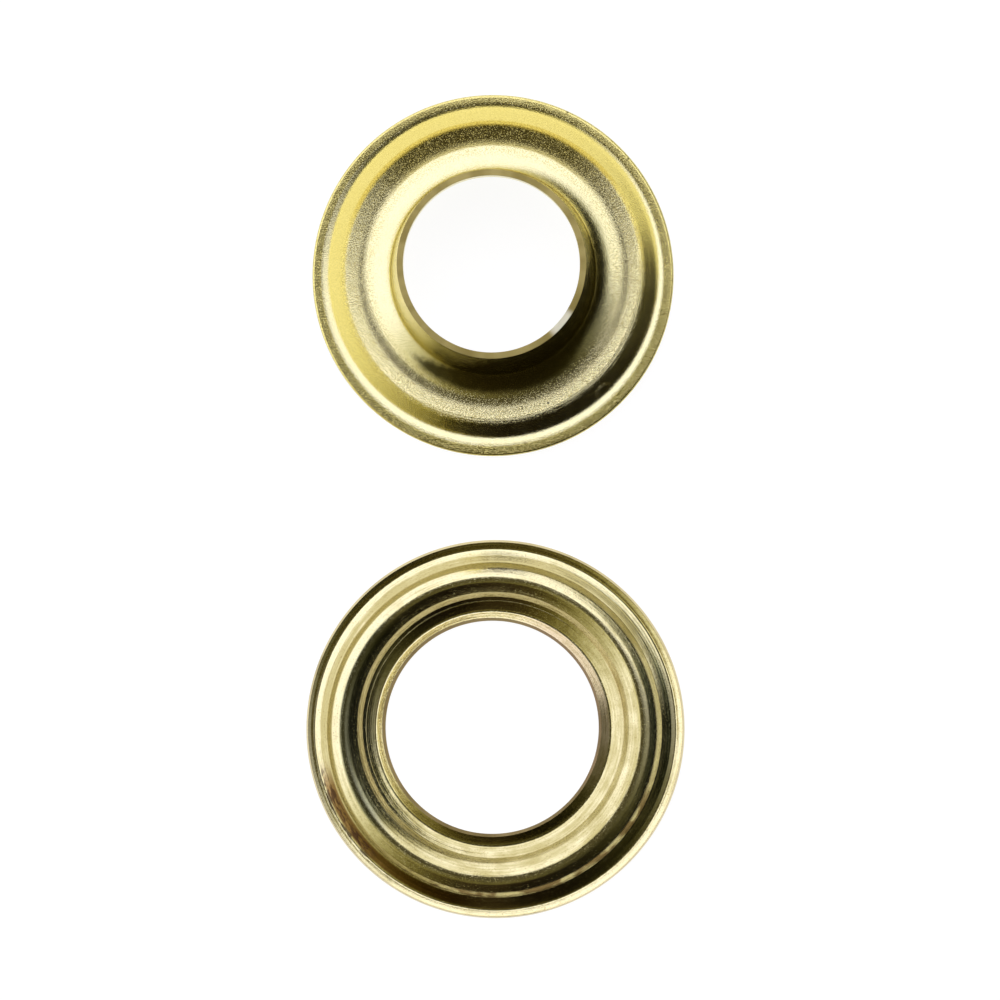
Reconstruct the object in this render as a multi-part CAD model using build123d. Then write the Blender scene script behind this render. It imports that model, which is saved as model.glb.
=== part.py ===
from build123d import *
import os
from math import cos, radians, tan

# A two-part brass eyelet for a 9.5 mm (3/8 in) hole: the barrelled grommet and
# its washer, lying side by side on a flat surface before they are set.
# Both are pressed from one thickness of sheet and are round about their own
# upright axis, so each is one section turned through a full circle.
# The grommet lies face down, barrel up. The washer lies face up.
# Lengths are in millimetres and slopes in degrees above the surface.
# Each section is given by the line of its upper side, from the hole outwards.

# The sheet that both are pressed from, and what its bends may be
sheet = 0.34
cut_bevel = 0.07
least_round = 0.10
sharp = 0
run_share = 0.99

# The grommet's barrel, from the tip down
bore_radius = 4.84
barrel_height = 6.0
tip_land = 0.7
tip_bend = 1.0
barrel_base_radius = 5.80
base_round = 0.38

# The grommet's flared root, down to the ring on which it lies
flare_width = 0.63
flare_slope = 43
flare_round = 2.4
seat_offset = 1.65
approach_slope = 12
seat_round = 1.55

# The grommet's flange, as widths counted outwards from that ring
dish_width = 1.07
dish_slope = 10.5
foot_round = 0.45
wall_width = 0.77
wall_slope = 37.5
wall_top_round = 0.40
lip_width = 0.39
lip_slope = 18
crest_round = 0.40
rim_width = 0.53

# The washer, as widths counted outwards from its hole
barrel_clearance = 0.26
collar_width = 0.62
collar_slope = 28
crease_round = 0.22
inner_skirt_width = 0.78
inner_skirt_slope = 31
inner_foot_width = 0.30
inner_foot_slope = 50
inner_dome_width = 0.76
inner_dome_slope = 35
shoulder_round = 0.60
crown_round = 0.60
outer_dome_width = 0.68
outer_dome_slope = 34
outer_foot_width = 0.29
outer_foot_slope = 49
outer_skirt_width = 0.78
outer_skirt_slope = 31.5
groove_round = 0.15
washer_lip_width = 0.46
washer_lip_slope = 27

# How the two lie beside each other
rim_gap = 4.78
grommet_shift = -0.13


def unit(start, end):
    """The direction from one point to the next."""
    run = (end[0] - start[0], end[1] - start[1])
    length = (run[0] ** 2 + run[1] ** 2) ** 0.5
    return (run[0] / length, run[1] / length)


def under(direction):
    """The normal that points into the sheet, on the right of the upper line."""
    return (direction[1], -direction[0])


def cut_point(end, direction, cut):
    """Where a cut along `cut`, through an end of the upper line, leaves the sheet."""
    reach = sheet / abs(cut[0] * direction[1] - cut[1] * direction[0])
    return (end[0] + cut[0] * reach, end[1] + cut[1] * reach)


def fitting_rounds(corners, rounds):
    """The bend radii, made smaller where two bends would take more than their share of a run."""
    runs = [unit(start, end) for start, end in zip(corners, corners[1:])]
    reaches = [0]
    for radius, before, after in zip(rounds, runs, runs[1:]):
        cosine = before[0] * after[0] + before[1] * after[1]
        reaches.append(radius * ((1 - cosine) / (1 + cosine)) ** 0.5)
    reaches.append(0)
    shares = []
    for start, end, one, other in zip(corners, corners[1:], reaches, reaches[1:]):
        length = ((end[0] - start[0]) ** 2 + (end[1] - start[1]) ** 2) ** 0.5
        taken = one + other
        shares.append(min(1, run_share * length / taken) if taken else 1)
    return [radius * min(before, after) for radius, before, after in zip(rounds, shares, shares[1:])]


def round_below(radius, hollow):
    """The radius of a bend on the sheet's lower side, left sharp where there is no room for one."""
    if radius == sharp:
        return sharp
    if hollow:
        return radius + sheet
    return radius - sheet if radius - sheet >= least_round else sharp


def bevelled(start, corner, end, size):
    """The two points of a small flat worn on a cut edge."""
    back, ahead = unit(corner, start), unit(corner, end)
    return [
        (corner[0] + back[0] * size, corner[1] + back[1] * size),
        (corner[0] + ahead[0] * size, corner[1] + ahead[1] * size),
    ]


def pressed_section(upper, rounds, hole_cut, rim_cut):
    """A sheet section: the upper line, and the same line one thickness below it.

    `rounds` holds the radius on the upper side of each bend. The lower side of
    a bend has the same centre, so its radius is one thickness more or less.
    The two cut edges are each worn to a small flat on the upper side.
    """
    rounds = fitting_rounds(upper, rounds)
    runs = [unit(start, end) for start, end in zip(upper, upper[1:])]
    lower = [cut_point(upper[0], runs[0], hole_cut)]
    lower_rounds = []
    for corner, radius, before, after in zip(upper[1:], rounds, runs, runs[1:]):
        first, second = under(before), under(after)
        stretch = sheet / (1 + first[0] * second[0] + first[1] * second[1])
        mitre = (first[0] + second[0], first[1] + second[1])
        lower.append((corner[0] + mitre[0] * stretch, corner[1] + mitre[1] * stretch))
        hollow = before[0] * after[1] - before[1] * after[0] > 0
        lower_rounds.append(round_below(radius, hollow))
    lower.append(cut_point(upper[-1], runs[-1], rim_cut))
    hole_edge = bevelled(lower[0], upper[0], upper[1], cut_bevel)
    rim_edge = bevelled(upper[-2], upper[-1], lower[-1], cut_bevel)
    outline = hole_edge + upper[1:-1] + rim_edge + lower[::-1]
    radii = [sharp, sharp] + rounds + [sharp, sharp, sharp] + lower_rounds[::-1] + [sharp]
    with BuildSketch(Plane.XZ) as section:
        with BuildLine():
            FilletPolyline(*outline, radius=radii, close=True)
        make_face()
    return section.sketch


def rise(width, slope):
    """The height gained over a width at a slope."""
    return width * tan(radians(slope))


def seat_corner(ring_radius, height, radius, inner_slope, outer_slope):
    """Where the slopes on both sides of a round ring, whose lowest line is given, would meet."""
    inner, outer = radians(inner_slope), radians(outer_slope)
    shift = radius * (1 / cos(outer) - 1 / cos(inner)) / (tan(inner) + tan(outer))
    return (ring_radius + shift, height + radius - radius / cos(inner) - shift * tan(inner))


def grommet():
    """The barrelled half: barrel, flared root, seat ring, dish, wall, lip and rim."""
    tip_radius = bore_radius + sheet
    seat = seat_corner(barrel_base_radius + seat_offset, sheet, seat_round, approach_slope, dish_slope)
    flare_radius = barrel_base_radius + flare_width
    flare = (flare_radius, seat[1] + rise(seat[0] - flare_radius, approach_slope))
    base = (barrel_base_radius, flare[1] + rise(flare_width, flare_slope))
    foot_radius = barrel_base_radius + seat_offset + dish_width
    foot = (foot_radius, seat[1] + rise(foot_radius - seat[0], dish_slope))
    wall_top = (foot[0] + wall_width, foot[1] + rise(wall_width, wall_slope))
    crest = (wall_top[0] + lip_width, wall_top[1] + rise(lip_width, lip_slope))
    rim = (crest[0] + rim_width, crest[1])
    upper = [(tip_radius, barrel_height), (tip_radius, barrel_height - tip_land), base, flare, seat]
    upper += [foot, wall_top, crest, rim]
    rounds = [tip_bend, base_round, flare_round, seat_round, foot_round, wall_top_round, crest_round]
    section = pressed_section(upper, rounds, hole_cut=(-1, 0), rim_cut=(0, -1))
    return revolve(section, Axis.Z), rim[0]


def washer():
    """The washer: collar, crease, skirt, a dome with a steep foot on each side, skirt and lip."""
    stations = [
        (collar_width, -collar_slope),
        (inner_skirt_width, inner_skirt_slope),
        (inner_foot_width, inner_foot_slope),
        (inner_dome_width, inner_dome_slope),
        (outer_dome_width, -outer_dome_slope),
        (outer_foot_width, -outer_foot_slope),
        (outer_skirt_width, -outer_skirt_slope),
        (washer_lip_width, washer_lip_slope),
    ]
    upper = [(barrel_base_radius + barrel_clearance, sheet + rise(collar_width, collar_slope))]
    for width, slope in stations:
        upper.append((upper[-1][0] + width, upper[-1][1] + rise(width, slope)))
    rounds = [crease_round, sharp, shoulder_round, crown_round, shoulder_round, sharp, groove_round]
    section = pressed_section(upper, rounds, hole_cut=(0, -1), rim_cut=(0, -1))
    return revolve(section, Axis.Z), upper[-1][0]


grommet_solid, grommet_rim = grommet()
washer_solid, washer_rim = washer()

# The pair's length is centred on the origin, and both rest on the surface at zero.
pair_length = 2 * washer_rim + rim_gap + 2 * grommet_rim
washer_y = washer_rim - pair_length / 2
grommet_y = pair_length / 2 - grommet_rim


def set_down(solid, x, y):
    """Moves a piece so that its axis is at x, y and its lowest ring touches the surface."""
    return Pos(x, y, -solid.bounding_box().min.Z) * solid


pieces = {
    "grommet": set_down(grommet_solid, grommet_shift, grommet_y),
    "washer": set_down(washer_solid, 0, washer_y),
}

os.makedirs("parts", exist_ok=True)
for name, solid in pieces.items():
    export_step(solid, f"parts/{name}.step")
    box = solid.bounding_box()
    print(name, "volume", round(solid.volume, 2), "from", box.min, "to", box.max)

# The two holes that the record states
collar_wall = sheet / cos(radians(collar_slope)) - cut_bevel
print("grommet axis at", grommet_shift, round(grommet_y, 3), "bore", bore_radius, "over", tip_land)
hole_radius = barrel_base_radius + barrel_clearance
print("washer axis at 0", round(washer_y, 3), "hole", hole_radius, "over", round(collar_wall, 3))
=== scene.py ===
# %% [markdown]
# # A pressed brass eyelet in two halves
# This lesson dresses the two halves of a sheet-brass eyelet: the grommet, whose barrel goes
# through the cloth, and the washer that the barrel is set into. They lie side by side on a
# white table and are seen from straight above.
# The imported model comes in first. It is the frame: it says where each half lies and how
# large it is, so whatever is modelled here has to fit it.

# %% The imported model
import math

import bmesh
import bpy
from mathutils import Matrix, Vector


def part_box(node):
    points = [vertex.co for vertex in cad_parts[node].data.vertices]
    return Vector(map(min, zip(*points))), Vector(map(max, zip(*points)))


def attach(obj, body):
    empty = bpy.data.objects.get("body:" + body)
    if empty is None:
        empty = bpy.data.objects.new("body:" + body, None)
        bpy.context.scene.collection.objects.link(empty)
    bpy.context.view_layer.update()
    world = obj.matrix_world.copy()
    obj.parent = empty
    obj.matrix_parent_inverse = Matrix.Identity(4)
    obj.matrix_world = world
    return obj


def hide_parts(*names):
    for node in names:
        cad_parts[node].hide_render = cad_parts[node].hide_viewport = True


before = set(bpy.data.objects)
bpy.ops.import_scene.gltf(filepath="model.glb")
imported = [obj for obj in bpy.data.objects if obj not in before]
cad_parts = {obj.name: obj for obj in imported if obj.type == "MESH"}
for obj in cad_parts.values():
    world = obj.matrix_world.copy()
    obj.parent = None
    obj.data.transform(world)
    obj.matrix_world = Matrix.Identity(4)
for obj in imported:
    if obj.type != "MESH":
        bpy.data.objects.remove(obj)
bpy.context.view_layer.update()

MM = 0.001
for node in sorted(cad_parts):
    low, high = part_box(node)
    print(node, "lies from", [round(v / MM, 2) for v in low], "to", [round(v / MM, 2) for v in high], "mm")

# %% [markdown]
# ## Where each half stands
# Both halves are round, so each needs only its axis. The frame's own boxes give both axes:
# the middle of each box.

# %% The two axes
def axis_of(node):
    """The middle of a node's box on the table, in metres."""
    lowest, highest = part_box(node)
    middle = (lowest + highest) / 2
    return Vector((middle.x, middle.y, 0))


grommet_axis = axis_of("grommet")
washer_axis = axis_of("washer")
print("axes in mm:", grommet_axis / MM, washer_axis / MM)

# %% [markdown]
# ## The camera
# The picture is taken from straight above, and from close by: the barrel's tip looks larger
# than it would at table height and leans away from the middle of the view. Both effects
# together fix the camera's height and place. The lens then follows from the size of the
# rims, and a small shift puts the view's edges where the picture has them.

# %% The camera
camera_data = bpy.data.cameras.new("overhead_camera")
camera_data.sensor_width = 36
camera_data.lens = 92.2
camera_data.shift_x = -0.040
camera_data.shift_y = 0.012
camera_data.clip_start = 0.005
camera_data.clip_end = 20
camera = bpy.data.objects.new("overhead_camera", camera_data)
camera.location = (2.53 * MM, -0.255 * MM, 146 * MM)
bpy.context.scene.collection.objects.link(camera)
bpy.context.scene.camera = camera
bpy.context.scene.view_settings.view_transform = "Standard"
print("camera", round(camera.location.z / MM, 1), "mm above the table")

# %% [markdown]
# ## Writing materials as sums
# A material is a graph of nodes, and most of it is arithmetic. Two small classes let that
# arithmetic be written as Python. The first, `Signal`, is the output of a node. It knows
# + - * /, with another signal or a plain number on either side.

# %% Signals
class Signal:
    """The output of a node, which takes part in sums."""

    def __init__(self, graph, socket):
        self.graph = graph
        self.socket = socket

    def __add__(self, other):
        return self.graph.maths("ADD", self, other)

    def __radd__(self, other):
        return self.graph.maths("ADD", other, self)

    def __sub__(self, other):
        return self.graph.maths("SUBTRACT", self, other)

    def __rsub__(self, other):
        return self.graph.maths("SUBTRACT", other, self)

    def __mul__(self, other):
        return self.graph.maths("MULTIPLY", self, other)

    def __rmul__(self, other):
        return self.graph.maths("MULTIPLY", other, self)

    def __truediv__(self, other):
        return self.graph.maths("DIVIDE", self, other)

    def __rtruediv__(self, other):
        return self.graph.maths("DIVIDE", other, self)


# %% [markdown]
# The second, `Graph`, adds any node in one call, `add`. The kinds that come up again and
# again have a method of their own: soft steps, mixes, tints, noise and bump. Numbers that
# never change are worked out in Python, so a graph holds only what varies over the metal.

# %% Graphs
class Graph:
    """A node tree that is emptied first and then filled by calls."""

    def __init__(self, tree):
        self.tree = tree
        tree.nodes.clear()

    def add(self, kind, settings=None, inputs=None, output=0):
        """One node: its settings first, then the values or links of its sockets."""
        node = self.tree.nodes.new(kind)
        for name, value in (settings or {}).items():
            setattr(node, name, value)
        for key, value in (inputs or {}).items():
            if isinstance(value, Signal):
                self.tree.links.new(value.socket, node.inputs[key])
            else:
                node.inputs[key].default_value = value
        if not node.outputs:
            return None
        return Signal(self, node.outputs[output])

    def maths(self, operation, first, second=0.0):
        """A number worked out from one or two others."""
        return self.add("ShaderNodeMath", {"operation": operation}, {0: first, 1: second})

    def larger(self, first, second):
        """The larger of two numbers."""
        return self.maths("MAXIMUM", first, second)

    def power(self, base, exponent):
        """One number to the power of another."""
        return self.maths("POWER", base, exponent)

    def part(self, vector, letter):
        """One of a vector's three numbers: X, Y or Z."""
        return self.add("ShaderNodeSeparateXYZ", {}, {0: vector}, output=letter)

    def ramp(self, value, start, end, low=0.0, high=1.0):
        """A soft step from low at start to high at end. Start may be the larger of the two."""
        ends = {0: value, 1: start, 2: end, 3: low, 4: high}
        return self.add("ShaderNodeMapRange", {"interpolation_type": "SMOOTHSTEP"}, ends)

    def blend(self, share, first, second):
        """A colour between two, by a share from 0 to 1."""
        return self.add("ShaderNodeMix", {"data_type": "RGBA"}, {0: share, 6: first, 7: second}, output=2)

    def mix(self, share, first, second):
        """A number between two, by a share from 0 to 1."""
        return self.add("ShaderNodeMix", {"data_type": "FLOAT"}, {0: share, 2: first, 3: second})

    def tinted(self, share, colour, tint):
        """A colour multiplied by a tint where share is 1, and left alone where it is 0."""
        settings = {"data_type": "RGBA", "blend_type": "MULTIPLY"}
        return self.add("ShaderNodeMix", settings, {0: share, 6: colour, 7: tint + (1,)}, output=2)

    def noise(self, place, scale, detail, roughness):
        """A cloud of numbers round 0.5, in bumps of about 1 / scale."""
        sockets = {"Vector": place, "Scale": scale, "Detail": detail, "Roughness": roughness}
        return self.add("ShaderNodeTexNoise", {}, sockets)

    def bump(self, height, reach):
        """A normal tilted by small heights and hollows: a height of 1 stands reach mm high."""
        return self.add("ShaderNodeBump", {}, {"Strength": 1.0, "Distance": reach * MM, "Height": height})


# %% [markdown]
# ## The studio
# Polished metal has hardly a look of its own: it shows what is round it. In the picture each
# ring has one slope and faces every bearing in turn, so together the rings say how bright
# the studio is in every direction. It is made as a world whose brightness depends on the
# direction, because lamps would add edges that the picture doesn't show.
# A direction is kept as its bearing, split into east and north, and its height, the sine of
# its angle above the table. East is the picture's right and north is its top.

# %% Directions in the studio
world = bpy.data.worlds.new("studio")
world.use_nodes = True
bpy.context.scene.world = world
sky = Graph(world.node_tree)
toward = sky.add("ShaderNodeTexCoord", output="Generated")
height = sky.part(toward, "Z")
level = sky.power(sky.larger(1 - height * height, 0.0001), 0.5)
east = sky.part(toward, "X") / level
north = sky.part(toward, "Y") / level


def facing(degrees):
    """How squarely a direction faces a bearing, counted from the right over the top."""
    turn = math.radians(degrees)
    return east * math.cos(turn) + north * math.sin(turn)


print("nodes that give a direction:", len(world.node_tree.nodes))

# %% [markdown]
# ## The lit part
# A soft light comes from nearly all round. It fades out towards the bottom of the picture at
# every height, and at the right only low down, below a slanting plane. Where it fades it
# turns from white to yellow.

# %% The lit part
lit = sky.ramp(facing(98), -0.97, -0.09) * sky.ramp(facing(0), 0.4, 1.0, 1.38, 1.28)
below_the_plane = (east + 0.08 * north) * level - 1.19 * height
lit = lit * (1 - sky.ramp(below_the_plane, -0.02, 0.25))
lit_tint = sky.add("ShaderNodeCombineColor", {}, {
    0: 1.0, 1: sky.power(lit, 0.05), 2: 1.15 * sky.power(lit, 0.65)})
lit_part = sky.add("ShaderNodeBackground", {}, {"Color": lit_tint, "Strength": lit})
print("nodes with the light:", len(world.node_tree.nodes))

# %% [markdown]
# ## The unlit part
# What the light leaves is dark but not black: a faint glow of its own lies over the whole
# studio. It is brown low down, greenish low down at the right, and khaki overhead, where it
# is also a little brighter.

# %% The unlit part
BROWN = (1.0, 0.70, 0.33, 1)
GREENISH = (0.9, 0.98, 0.8, 1)
KHAKI = (1.0, 0.9, 0.4, 1)
unlit = sky.ramp(height, 0.62, 0.82, 0.032, 0.13) * sky.ramp(facing(0), 0.2, 0.9, 1.0, 0.6)
unlit_tint = sky.blend(sky.ramp(facing(0), 0.2, 0.9), BROWN, GREENISH)
unlit_tint = sky.blend(sky.ramp(height, 0.62, 0.82), unlit_tint, KHAKI)
unlit_part = sky.add("ShaderNodeBackground", {}, {"Color": unlit_tint, "Strength": unlit})
soft_light = sky.add("ShaderNodeAddShader", {}, {0: lit_part, 1: unlit_part})
print("nodes with the dark:", len(world.node_tree.nodes))

# %% [markdown]
# ## White behind everything
# The camera, and anything seen through glass, gets plain white instead of the studio. Light
# Path says who is looking, and a Mix Shader chooses.

# %% The world
seen = sky.add("ShaderNodeLightPath", output="Is Camera Ray")
through = sky.add("ShaderNodeLightPath", output="Is Transmission Ray")
plain_white = sky.add("ShaderNodeBackground", {}, {"Color": (1, 1, 1, 1), "Strength": 1.0})
both = sky.add("ShaderNodeMixShader", {}, {0: sky.larger(seen, through), 1: soft_light, 2: plain_white})
sky.add("ShaderNodeOutputWorld", {}, {"Surface": both})
print("nodes in the whole studio:", len(world.node_tree.nodes))

# %% [markdown]
# ## Squares for the stage
# The table and two cards further down are level squares.

# %% A level square and an empty material
def level_square(name, half_width, middle=(0, 0, 0)):
    """A level square for the stage, given by its half width and its middle in mm."""
    grid = bmesh.new()
    bmesh.ops.create_grid(grid, x_segments=1, y_segments=1, size=half_width * MM)
    bmesh.ops.translate(grid, verts=grid.verts, vec=[v * MM for v in middle])
    mesh = bpy.data.meshes.new(name)
    grid.to_mesh(mesh)
    grid.free()
    square = bpy.data.objects.new(name, mesh)
    bpy.context.scene.collection.objects.link(square)
    print(name, 2 * half_width, "mm wide, its middle at", middle)
    return square


def empty_material(name):
    """A material with an empty graph."""
    material = bpy.data.materials.new(name)
    material.use_nodes = True
    return material, Graph(material.node_tree)


# %% [markdown]
# ## The table
# The table is a white sheet. Lit plainly it would come out grey, so most of its white is its
# own glow, which the camera and the metal see alike, and a little is diffuse, which keeps
# the shadow under the rims.

# %% The table
def white_card(glow, white):
    """White card: a glow for whatever looks at it, and a diffuse white for the light."""
    material, graph = empty_material("white_card")
    seen = graph.add("ShaderNodeLightPath", output="Is Camera Ray")
    mirrored = graph.add("ShaderNodeLightPath", output="Is Glossy Ray")
    through = graph.add("ShaderNodeLightPath", output="Is Transmission Ray")
    shown = graph.larger(graph.larger(seen, mirrored), through)
    glowing = graph.add("ShaderNodeEmission", {}, {"Color": (1, 1, 1, 1), "Strength": glow * shown})
    matt = graph.add("ShaderNodeBsdfDiffuse", {}, {"Color": (white, white, white, 1)})
    surface = graph.add("ShaderNodeAddShader", {}, {0: glowing, 1: matt})
    graph.add("ShaderNodeOutputMaterial", {}, {"Surface": surface})
    return material


table = level_square("table", 1500)
table.data.materials.append(white_card(glow=0.92, white=0.14))

# %% [markdown]
# ## Two dark things that only the metal sees
# The metal also shows two dark things: the camera's own front, straight above it, and
# something beyond the right edge of the view. Each is a card that is hidden from the camera,
# from diffuse light and from shadows. Its cover fades from dark to clear by the place on the
# card, so it has no hard edge.

# %% A dark card
def dark_card(name, half_width, middle, shade, glow):
    """A card that only the metal sees: shade gives its cover, and glow how bright its dark is."""
    card = level_square(name, half_width, middle)
    card.visible_camera = False
    card.visible_diffuse = False
    card.visible_shadow = False
    material, graph = empty_material(name)
    spot = graph.add("ShaderNodeTexCoord", output="Object")
    cover = shade(graph, graph.part(spot, "X") / MM, graph.part(spot, "Y") / MM)
    dark = graph.add("ShaderNodeEmission", {}, {"Color": (1, 0.86, 0.35, 1), "Strength": glow})
    clear = graph.add("ShaderNodeBsdfTransparent")
    both = graph.add("ShaderNodeMixShader", {}, {0: cover, 1: clear, 2: dark})
    graph.add("ShaderNodeOutputMaterial", {}, {"Surface": both})
    card.data.materials.append(material)


# %% [markdown]
# The camera's front is dark as a diamond, 70 mm to each side and 75 mm up and down. How far
# out a point is to the side, as a share of 70 mm, and how far up or down, as a share of
# 75 mm, add up to 1 on the diamond's edge, and the cover fades on both sides of it.

# %% The camera's front
def front_shade(graph, across, along):
    """Dark in front of the lens, and clear beyond a diamond."""
    aside = graph.maths("ABSOLUTE", across + 5)
    away = graph.maths("ABSOLUTE", along + 8)
    return graph.ramp(aside / 70 + away / 75, 0.66, 1.12, 1.0, 0.0)


dark_card("camera_front", 100, (-5, -8, 148), front_shade, glow=0.07)

# %% [markdown]
# The other card lies 100 mm up and goes far out to the right. It sets in between 8.5 and
# 25.5 mm right of the middle, and it is clear again towards the top.

# %% The dark at the right
def side_shade(graph, across, along):
    """Dark to the right, and clear again towards the top."""
    return 0.72 * graph.ramp(across, 8.5, 25.5) * graph.ramp(along, -8, 32, 1.0, 0.0)


dark_card("right_side", 400, (400, -200, 100), side_shade, glow=0.0)

# %% [markdown]
# ## From a line to pressed sheet
# A press pushes flat sheet into a ring-shaped die, so all of the piece keeps one thickness
# and one section all round. It is modelled in the same order. The section's upper line is a
# few corner points. Each corner is rounded to the radius of the die's edge by bevelling that
# point. Long straight runs are divided, so that a drift of the rings can bend them later.

# %% The upper line
def rounded_line(corners, rounds, longest):
    """A wire through the corners in the XZ plane, in mm, with a radius at each inner corner.

    A bend gets one run for every 4 degrees, and no fewer than 4. No run is over longest mm.
    """
    wire = bmesh.new()
    points = [wire.verts.new((x * MM, 0, z * MM)) for x, z in corners]
    for start, end in zip(points, points[1:]):
        wire.edges.new((start, end))
    for corner, radius in zip(points[1:-1], rounds):
        arms = [edge.other_vert(corner).co - corner.co for edge in corner.link_edges]
        bend = math.pi - arms[0].angle(arms[1])
        reach = radius * MM * math.tan(bend / 2)
        steps = max(4, round(math.degrees(bend) / 4))
        bmesh.ops.bevel(wire, geom=[corner], offset=reach, segments=steps, profile=0.5,
                        affect="VERTICES", material=-1)
    for edge in list(wire.edges):
        cuts = math.ceil(edge.calc_length() / (longest * MM)) - 1
        if cuts > 0:
            bmesh.ops.subdivide_edges(wire, edges=[edge], cuts=cuts)
    return wire


# %% [markdown]
# One full turn round the axis makes the surface. Spin leaves a seam where the turn closes,
# so doubles are merged, and the faces are made to look up. Each point also keeps the radius
# that it had in the section. The materials read it later, to tell one ring from the next.

# %% The turn
def turned(wire, steps):
    """The line turned once round the upright axis, with its faces looking up.

    Each point keeps its radius in mm as the attribute "ring", for the materials to read.
    """
    ring = wire.verts.layers.float.new("ring")
    for vertex in wire.verts:
        vertex[ring] = vertex.co.x / MM
    bmesh.ops.spin(wire, geom=wire.verts[:] + wire.edges[:], cent=(0, 0, 0), axis=(0, 0, 1),
                   dvec=(0, 0, 0), angle=2 * math.pi, steps=steps, use_merge=True, use_duplicate=False)
    bmesh.ops.remove_doubles(wire, verts=wire.verts, dist=1e-8)
    bmesh.ops.recalc_face_normals(wire, faces=wire.faces)
    if sum(face.normal.z * face.calc_area() for face in wire.faces) < 0:
        bmesh.ops.reverse_faces(wire, faces=wire.faces)
    return wire


# %% [markdown]
# ## Rims that were trimmed off-centre
# The press draws the rings first and trims the rim last, and the trimming tool is never quite
# centred. So the inner rings sit a little off the rim's centre. A ring's drift is given at a
# few radii, and every point moves by what its own radius gives.

# %% Drift of the rings
def drifted(surface, stations):
    """Moves each point sideways by the drift at its radius: stations of radius, right, up, in mm."""
    for vertex in surface.verts:
        radius = vertex.co.xy.length / MM
        below = max((s for s in stations if s[0] <= radius), default=stations[0])
        above = min((s for s in stations if s[0] > radius), default=stations[-1])
        span = above[0] - below[0]
        share = (radius - below[0]) / span if span > 0 else 0
        vertex.co.x += (below[1] + (above[1] - below[1]) * share) * MM
        vertex.co.y += (below[2] + (above[2] - below[2]) * share) * MM
    return surface


# %% [markdown]
# ## The sheet's thickness and its cut edges
# The sheet is 0.34 mm thick. Solidify with even thickness adds it below the surface, so each
# ring of the upper side goes through to the lower one, as it does in real sheet. Its rim
# closes the two cuts, at the hole and at the outer edge. A cut edge is never quite sharp:
# shearing rolls one side of it and tumbling takes off the other, so a small Bevel follows,
# which only acts where the sheet turns by more than 50 degrees in one step.

# %% Thickness and edges
SHEET = 0.34
EDGE_WEAR = 0.05


def give_thickness(piece):
    """Adds the sheet's thickness below the surface, and worn edges along the cuts."""
    thickness = piece.modifiers.new("sheet thickness", "SOLIDIFY")
    thickness.thickness = SHEET * MM
    thickness.offset = -1
    thickness.use_even_offset = True
    thickness.use_quality_normals = True
    cuts = piece.modifiers.new("worn cut edges", "BEVEL")
    cuts.width = EDGE_WEAR * MM
    cuts.segments = 3
    cuts.limit_method = "ANGLE"
    cuts.angle_limit = math.radians(50)
    cuts.harden_normals = True


# %% [markdown]
# Each half then becomes an object of its own. The object stays at the origin and its place
# is in its mesh. It is let down until its lowest point touches the table. It rides on the
# frame's one body, and stands for the plain solid of its half.

# %% A pressing on the table
def sheet_piece(name, node, surface, axis):
    """Makes the object: surface at its axis, one sheet thick, resting on the table."""
    bmesh.ops.translate(surface, verts=surface.verts, vec=axis)
    mesh = bpy.data.meshes.new(name)
    surface.to_mesh(mesh)
    surface.free()
    piece = bpy.data.objects.new(name, mesh)
    bpy.context.scene.collection.objects.link(piece)
    give_thickness(piece)
    mesh.shade_smooth()
    bpy.context.view_layer.update()
    shape = piece.evaluated_get(bpy.context.evaluated_depsgraph_get()).to_mesh()
    lowest = min(vertex.co.z for vertex in shape.vertices)
    triangles = len(shape.loop_triangles)
    for vertex in mesh.vertices:
        vertex.co.z -= lowest
    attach(piece, "root")
    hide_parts(node)
    print(name, triangles, "triangles, lowered by", round(lowest / MM, 4), "mm")
    return piece


# %% [markdown]
# ## The grommet
# The grommet lies face down. From the hole outwards its upper line runs: tip of the barrel,
# a short straight land, the slightly tapered barrel, the large round at its root, the seat
# on which it rests, a shallow dish, a steep wall, a sloping lip, and a nearly flat rim whose
# edge just turns down. Points are radius and height in millimetres, and the rounds are the
# radii of all corners but the two ends.

# %% The grommet
BARREL_DRIFT = 0.19
grommet_line = [(5.18, 6.0), (5.18, 5.3), (5.80, 1.105), (6.427, 0.520), (7.4265, 0.308), (8.52, 0.510),
                (9.29, 1.101), (9.66, 1.212), (10.13, 1.234), (10.22, 1.12)]
grommet_rounds = [1.0, 0.35, 2.5, 1.6, 0.85, 0.8, 0.9, 0.12]
grommet_drift = [(8.5, 0, BARREL_DRIFT), (9.3, 0, 0.155), (9.9, -0.05, -0.03), (10.2, 0, 0)]
grommet_surface = turned(rounded_line(grommet_line, grommet_rounds, longest=0.25), steps=420)
grommet = sheet_piece("grommet_pressing", "grommet", drifted(grommet_surface, grommet_drift), grommet_axis)

# %% [markdown]
# ## The washer
# The washer lies face up. From the hole outwards: a collar that stands up round the hole, a
# tight crease on which the washer rests, the inner skirt, a steep foot, the dome with its
# crown, a second steep foot, the outer skirt, a groove just clear of the table, and a lip
# that turns up again.

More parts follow.
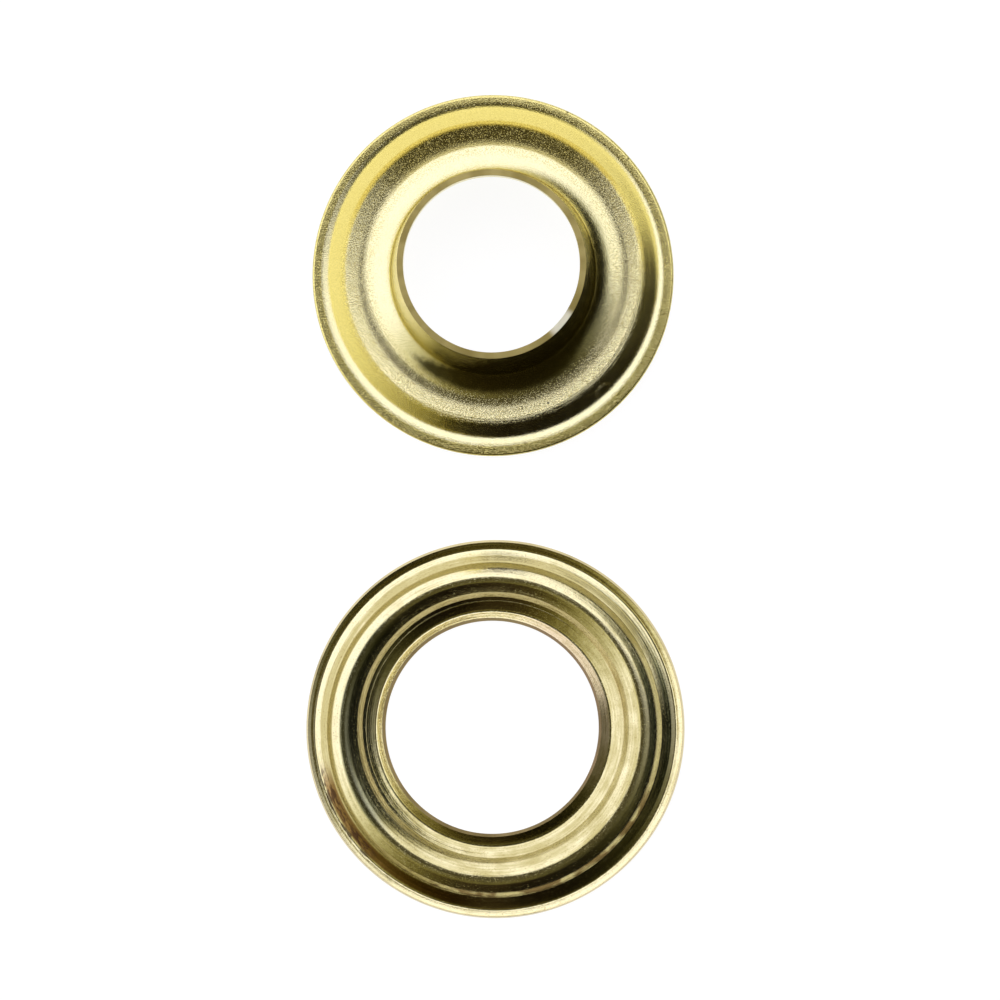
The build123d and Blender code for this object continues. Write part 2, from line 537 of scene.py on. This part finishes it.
# %% The washer
washer_line = [(6.22, 0.560), (6.68, 0.315), (6.98, 0.478), (7.41, 0.752), (7.69, 1.086), (7.95, 1.295),
               (8.15, 1.435), (8.52, 1.640), (8.88, 1.432), (9.19, 1.237), (9.49, 0.886), (9.75, 0.736),
               (10.02, 0.576), (10.27, 0.480), (10.47, 0.620), (10.64, 0.682)]
washer_rounds = [0.22, 1.0, 0.12, 0.5, 0.8, 0.8, 0.62, 0.8, 0.5, 0.10, 0.6, 0.5, 0.15, 0.10]
washer_drift = [(6.1, -0.233, 0.136), (6.7, -0.133, 0.034), (7.5, -0.12, 0.14), (8.5, -0.16, 0.08),
                (9.35, -0.054, -0.01), (10.2, -0.02, 0), (10.7, 0, 0)]
washer_surface = turned(rounded_line(washer_line, washer_rounds, longest=0.25), steps=384)
washer = sheet_piece("washer_pressing", "washer", drifted(washer_surface, washer_drift), washer_axis)

# %% [markdown]
# ## Finding one's way on a ring
# What a press does to such a part follows its rings, and tarnish and wear keep to some rings
# or to part of the turn. So a material first works out where a point lies: its ring, from
# the attribute that the turn left, its bearing about the axis, as shares of east and north,
# and its height. All of them come from Object coordinates and the attribute, so the pattern
# stays on the metal from every side.
# The two sides of the sheet share their rings. But on the barrel the inner side lies a
# thickness nearer to the axis than its ring says, and that tells it from the outer side.

# %% Places on the rings
class RingPlace:
    """Where a point of the metal lies: its ring, its bearing about the axis and its height."""

    def __init__(self, graph, axis):
        self.graph = graph
        place = graph.add("ShaderNodeTexCoord", output="Object")
        self.spot = graph.add("ShaderNodeMapping", {}, {
            "Vector": place, "Location": tuple(-axis / MM), "Scale": (1 / MM, 1 / MM, 1 / MM)})
        across = graph.part(self.spot, "X")
        along = graph.part(self.spot, "Y")
        self.height = graph.part(self.spot, "Z")
        self.ring = graph.add("ShaderNodeAttribute", {"attribute_name": "ring"}, output="Fac")
        radius = graph.power(across * across + along * along, 0.5)
        self.east = across / radius
        self.north = along / radius
        self.outside = graph.ramp(radius - self.ring, -0.2, -0.1)

    def band(self, inner, outer, soft):
        """1 between two rings, fading over soft mm beyond them."""
        beyond = self.graph.ramp(self.ring, outer, outer + soft, 1.0, 0.0)
        return beyond * self.graph.ramp(self.ring, inner - soft, inner)

    def facing(self, bearing):
        """How squarely a point lies towards a bearing: 1 there, and -1 across the hole."""
        turn = math.radians(bearing)
        return self.east * math.cos(turn) + self.north * math.sin(turn)

    def sector(self, middle, half, soft):
        """1 within half degrees of a bearing, fading over soft degrees on each side."""
        clear = math.cos(math.radians(half + soft))
        full = math.cos(math.radians(half))
        return self.graph.ramp(self.facing(middle), clear, full)

    def ringwise(self, per_mm, per_turn=1.0):
        """Noise drawn out along the rings, or across them where per_turn is the larger."""
        place = self.graph.add("ShaderNodeCombineXYZ", {}, {
            0: self.east * per_turn, 1: self.north * per_turn, 2: self.ring * per_mm})
        return self.graph.noise(place, 1.0, 2.0, 0.6)

    def away(self, bearing, ring, height):
        """The distance in mm from a point given by its bearing, ring and height."""
        turn = math.radians(bearing)
        point = (ring * math.cos(turn), ring * math.sin(turn), height)
        return self.graph.add("ShaderNodeVectorMath", {"operation": "DISTANCE"}, {0: self.spot, 1: point},
                              output="Value")


# %% [markdown]
# ## Brass
# Brass is yellow because it swallows the blue of what it reflects, so a slope that shows the
# light twice is a stronger yellow than one that shows it once. The colour of a material is
# that of one reflection, and the renderer works out the rest.
# Grease and dirt lie on top of the metal and hardly shine, so they are a second shader, and
# a Mix Shader lays them over the brass. On the grommet's barrel this dark shader also lays
# painted shade.

# %% Brass under dirt and painted shade
def finished(graph, metal, share, dirt_and_shade_colour):
    """Ends a material: brass, with a dark, dull layer on it where share is 1: grease and dirt, and on the
    grommet's barrel painted shade.
    """
    brass = graph.add("ShaderNodeBsdfPrincipled", {}, {"Metallic": 1.0, **metal})
    # dark, dull shader: real dirt, and painted shade on the grommet's barrel
    dirt = graph.add("ShaderNodeBsdfPrincipled", {}, {
        "Base Color": dirt_and_shade_colour + (1,), "Roughness": 0.6, "Specular IOR Level": 0.0})
    both = graph.add("ShaderNodeMixShader", {}, {0: share, 1: brass, 2: dirt})
    graph.add("ShaderNodeOutputMaterial", {}, {"Surface": both})


# %% [markdown]
# ## Marks
# Nicks, specks and spots are put where the picture has them, each by its bearing, ring and
# height. A scratch along a circle is a thin line at one distance from the circle's middle.

# %% Round marks and thin lines
def marks(at, size, places):
    """Small round marks: 1 at each bearing, ring and height of places, and 0 beyond size mm."""
    total = 0.0
    for bearing, ring, height in places:
        total = total + at.graph.ramp(at.away(bearing, ring, height), 0.4 * size, size, 1.0, 0.0)
    return total


def thin_line(graph, value, middle, half):
    """1 where a value is at middle, and 0 beyond half on each side."""
    return graph.ramp(value, middle - half, middle) * graph.ramp(value, middle, middle + half, 1.0, 0.0)


# %% [markdown]
# ## The grommet's relief
# Such parts are tumbled in a drum, where they knock against each other. That leaves a fine
# grain all over, pits on the dish and the rim, and shallow dents wider than the grain. The
# foot of the wall keeps fine lines from the press at the bottom right, and two thin arcs on
# the wall there look like the print of another part's edge. All of it is far too shallow to
# model, so it is a bump.

# %% The grommet's relief
def grommet_relief(at, grain, peened):
    """The heights and hollows of the grommet's skin, as shares of its bump's reach."""
    graph = at.graph
    pits = peened * graph.ramp(graph.noise(at.spot, 14.0, 2.0, 0.6), 0.56, 0.72)
    dents = graph.noise(at.spot, 1.6, 2.0, 0.5)
    drawn = at.band(8.35, 8.85, 0.1) * at.sector(305, 55, 15)
    from_middle = at.away(313, 9.39, 0.9)
    arcs = thin_line(graph, from_middle, 0.50, 0.04) + thin_line(graph, from_middle, 0.61, 0.04)
    arcs = arcs * graph.ramp(at.ring, 9.15, 9.25, 1.0, 0.0)
    nicks = marks(at, 0.09, [(310, 10.12, 1.23), (313.5, 10.1, 1.23), (282, 7.8, 0.35), (250, 8.6, 0.5)])
    return grain - 0.6 * pits + 0.8 * dents + drawn * 1.5 * at.ringwise(16) + 0.9 * arcs + 4.0 * nicks


# %% [markdown]
# ## The grommet's colour
# Dirt stays in the hollows of the grain and makes them duller, most of all where the skin is
# peened. The metal has also darkened a little on the flat of the rim. On the dish and at the
# foot of the wall round the top the darker tints are painted shade. Each is a tint on a band
# of rings.

# %% The grommet's colour
def grommet_colour(at, grain, peened, patches):
    """Two shades of brass in patches, tinted where it is dirty or tarnished, and with painted shade on the
    dish and the wall's foot round the top.
    """
    graph = at.graph
    colour = graph.blend(patches, (0.80, 0.73, 0.33, 1), (0.88, 0.81, 0.41, 1))
    tints = [
        ((0.35 + 0.65 * peened) * graph.ramp(grain, 0.54, 0.40), (0.74, 0.70, 0.56)),
        # painted shade: the wall's foot darkened round the top
        (at.band(8.46, 8.62, 0.09) * at.sector(97, 52, 18), (0.86, 0.80, 0.55)),
        (at.band(9.72, 10.15, 0.05), (0.97, 0.93, 0.64)),
        # painted shade: the dish darkened round the top
        (at.band(7.35, 8.42, 0.12) * at.sector(92, 32, 28), (0.66, 0.62, 0.42)),
    ]
    for share, tint in tints:
        colour = graph.tinted(share, colour, tint)
    return colour


# %% [markdown]
# ## The barrel's cut end
# The barrel's end was sheared: it is a darker brass, streaked across the cut, with one
# painted highlight at the bottom right.

# %% The cut end's colour
def cut_end_colour(at):
    """Streaks of two dark shades, and a painted highlight."""
    graph = at.graph
    streaks = graph.ramp(at.ringwise(1.5, 3), 0.35, 0.65)
    colour = graph.blend(streaks, (0.47, 0.38, 0.12, 1), (0.33, 0.26, 0.07, 1))
    # painted highlight: a pale spot at the bottom right of the cut end
    return graph.blend(at.sector(320, 5, 6), colour, (0.84, 0.80, 0.52, 1))


# %% [markdown]
# ## Painted shade on the barrel
# In the picture the outside of the barrel is nearly black at the bottom right. No light that
# was tried gives this dark without darkening rings that are bright, so it is painted shade: a
# dark, dull layer laid over the metal. It ends just under the tip. It goes round more of the
# foot than of the tip, reaches further out onto the root at the bottom, and has cloudy edges.

# %% Painted shade on the barrel
def barrel_painted_shade(at):
    """How much of the metal the painted shade covers, from 0 to 0.9."""
    graph = at.graph
    cloud = graph.noise(at.spot, 2.2, 4.0, 0.65)
    reach = 5.95 + 0.6 * at.sector(272, 32, 28) + 0.3 * (cloud - 0.5)
    painted_shade = graph.ramp(at.ring - reach, 0.0, 0.45, 1.0, 0.0) * graph.ramp(at.height, 5.6, 5.95, 1.0, 0.0)
    side = at.facing(312) + 0.5 * (at.ring - 5.9) + 0.25 * (cloud - 0.5)
    return at.outside * painted_shade * graph.ramp(side, 0.2, 0.5) * graph.ramp(cloud, 0.35, 0.60, 0.80, 0.90)


# %% [markdown]
# ## The grommet's brass put together
# All rings inside the wall drifted alike, so the material counts its bearings from their
# centre. The brass is satin: its roughness varies a little with the patches and the grain,
# and is plainly higher on the barrel's cut end, which is known by the ring of the hole's edge
# and the height of the tip. A few small dark spots share the shader of the painted shade.

# %% The grommet's brass
def grommet_metal():
    """Tumbled brass: a fine peened grain all over, and a plain sheared face at the barrel's tip."""
    material, graph = empty_material("grommet_brass")
    at = RingPlace(graph, grommet_axis + Vector((0, BARREL_DRIFT * MM, 0)))
    grain = graph.noise(at.spot, 17.0, 1.0, 0.5)
    patches = graph.noise(at.spot, 0.9, 3.0, 0.55)
    peened = graph.larger(at.band(7.0, 8.45, 0.4), at.band(9.65, 10.3, 0.1))
    cut_end = graph.ramp(at.ring, 5.181, 5.184, 1.0, 0.0) * graph.ramp(at.height, 5.94, 5.96)
    satin = 0.17 + 0.12 * (patches - 0.5) + 0.10 * (grain - 0.5)
    metal = {
        "Base Color": graph.blend(cut_end, grommet_colour(at, grain, peened, patches), cut_end_colour(at)),
        "Roughness": graph.mix(cut_end, satin, 0.5),
        "Normal": graph.bump(grommet_relief(at, grain, peened), 0.0085),
    }
    spots = marks(at, 0.10, [(40, 9.98, 1.2), (65, 9.96, 1.2), (293, 8.0, 0.4), (128, 8.1, 0.4)])
    # the dark shader carries painted shade on the barrel, and real dark spots
    finished(graph, metal, graph.larger(barrel_painted_shade(at), 0.7 * spots), (0.020, 0.014, 0.001))
    print(material.name, "has", len(material.node_tree.nodes), "nodes")
    return material


grommet.data.materials.append(grommet_metal())

# %% [markdown]
# ## The washer's relief
# The washer shows less of the drum and more of the press. It has fine lines along its rings,
# with some grain, pits and dents, a hair line and a few specks on the inner skirt, and finer
# lines on the outer skirt round the top. At the lower left the sheet lies in short wrinkles
# along the groove.

# %% The washer's relief
def washer_relief(at, grain, lines, wrinkles):
    """The heights and hollows of the washer's skin, as shares of its bump's reach."""
    graph = at.graph
    pits = graph.ramp(grain, 0.58, 0.74)
    dents = graph.noise(at.spot, 1.5, 2.0, 0.5)
    hair = at.band(7.195, 7.205, 0.02) * at.sector(155, 95, 20)
    fine = at.band(9.6, 10.05, 0.1) * at.sector(100, 80, 20)
    specks = marks(at, 0.06, [(bearing, 7.2, 0.6) for bearing in (187, 211, 222, 232, 251)])
    relief = 0.6 * grain - 0.45 * pits + 1.3 * dents + lines + 2.0 * wrinkles + 1.6 * hair
    return relief + 2.0 * fine * at.ringwise(22) + 3.0 * specks


# %% [markdown]
# ## The washer's tarnish and painted shade
# Brass goes brown where it is left alone. Here the brown comes in clouds drawn out along the
# rings and in ring lines. More of it lies inside the crown at the bottom right. On the outer
# foot and skirt round the left and the top, the extra brown is painted shade.

# %% The washer's tarnish and painted shade
def washer_tarnish_and_shade(at, lines, patches):
    """How far the brass has gone brown, with painted shade on the outer skirt, from 0 to 1."""
    graph = at.graph
    clouds = at.ringwise(2.6, 4.0)
    inside_crown = graph.ramp(at.ring, 8.4, 8.6, 1.0, 0.0) * at.sector(300, 70, 30)
    # painted shade: the outer foot and skirt darkened round the left and the top
    skirt_painted_shade = at.band(9.25, 9.85, 0.12) * at.sector(140, 100, 20)
    brown_and_shade = 0.4 * patches + 0.6 * clouds + 0.5 * (lines - 0.5) + 0.20 * inside_crown + 0.36 * skirt_painted_shade
    return graph.ramp(brown_and_shade, 0.42, 0.86)


# %% [markdown]
# ## The washer's stained and shaded rings
# The two steep feet are dull all round, and the outer one is patchy at the bottom. Other
# rings are tinted only round part of the turn. The outer skirt is stained at the lower left.
# The darker tints on the dome's inner side at the left, and on the collar and two thin rings
# at the right, are painted shade. The edges of the lip and of the hole are duller cuts.

# %% The washer's colour
def washer_colour(at, grain, tarnish_and_shade, inner_foot, outer_foot, cut):
    """Bright to brown brass by its tarnish and painted shade, tinted on stained rings and darkened on
    rings with painted shade.
    """
    graph = at.graph
    colour = graph.blend(tarnish_and_shade, (0.83, 0.75, 0.36, 1), (0.50, 0.43, 0.15, 1))
    patchy = outer_foot * at.sector(285, 45, 20) * graph.ramp(at.ringwise(1.5, 7), 0.42, 0.58)
    # painted shade: two thin rings darkened at the right
    painted_shade_rings = graph.larger(at.band(9.77, 9.99, 0.06), at.band(8.9, 9.12, 0.06)) * at.sector(2, 16, 14)
    tints = [
        (graph.ramp(grain, 0.45, 0.30), (0.75, 0.70, 0.60)),
        (outer_foot, (0.86, 0.82, 0.74)),
        (patchy, (0.38, 0.30, 0.22)),
        (inner_foot * (0.35 + 0.65 * at.sector(110, 90, 30)), (0.88, 0.82, 0.76)),
        # painted shade: the dome's inner side darkened at the left
        (at.band(8.0, 8.6, 0.15) * at.sector(177, 35, 15), (0.45, 0.48, 0.50)),
        # painted shade: the collar tinted a little darker and pinker at the right
        (at.band(6.0, 6.6, 0.05) * at.sector(20, 40, 25), (0.88, 0.80, 0.88)),
        (graph.ramp(at.ring, 10.56, 10.63), (0.84, 0.78, 0.74)),
        (at.band(9.62, 10.1, 0.12) * at.sector(228, 27, 12), (0.42, 0.29, 0.19)),
        (painted_shade_rings, (0.55, 0.60, 0.58)),
        (cut, (0.40, 0.33, 0.28)),
    ]
    for share, tint in tints:
        colour = graph.tinted(share, colour, tint)
    return colour


# %% [markdown]
# ## The washer's brass put together
# The washer is brighter than the grommet, so its roughness is lower. It rises a little on
# the dome and the feet, and plainly on the cut at the hole. The wrinkles and the brown dirt
# between them come from the same streaks, so that they agree.

# %% The washer's brass
def washer_metal():
    """Drawn brass: fine ring lines, dull feet, a brown tarnish and painted shade on a few rings."""
    material, graph = empty_material("washer_brass")
    at = RingPlace(graph, washer_axis)
    grain = graph.noise(at.spot, 12.0, 2.0, 0.6)
    patches = graph.noise(at.spot, 0.8, 4.0, 0.6)
    lines = at.ringwise(9)
    streaks = at.ringwise(5, 12)
    wrinkled = at.band(9.75, 10.3, 0.1) * at.sector(209, 13, 6)
    inner_foot = at.band(7.42, 7.67, 0.08)
    outer_foot = at.band(9.21, 9.47, 0.08)
    cut = graph.ramp(at.ring, 6.221, 6.225, 1.0, 0.0)
    bright = 0.13 + 0.12 * (patches - 0.5) + 0.05 * at.band(7.7, 9.2, 0.2)
    bright = bright + 0.10 * graph.larger(inner_foot, outer_foot)
    tarnish_and_shade = washer_tarnish_and_shade(at, lines, patches)
    metal = {
        "Base Color": washer_colour(at, grain, tarnish_and_shade, inner_foot, outer_foot, cut),
        "Roughness": graph.mix(cut, bright, 0.45),
        "Normal": graph.bump(washer_relief(at, grain, lines, wrinkled * streaks), 0.009),
    }
    dirt = wrinkled * graph.ramp(streaks, 0.42, 0.54)
    finished(graph, metal, 0.75 * dirt, (0.05, 0.022, 0.012))
    print(material.name, "has", len(material.node_tree.nodes), "nodes")
    return material


washer.data.materials.append(washer_metal())
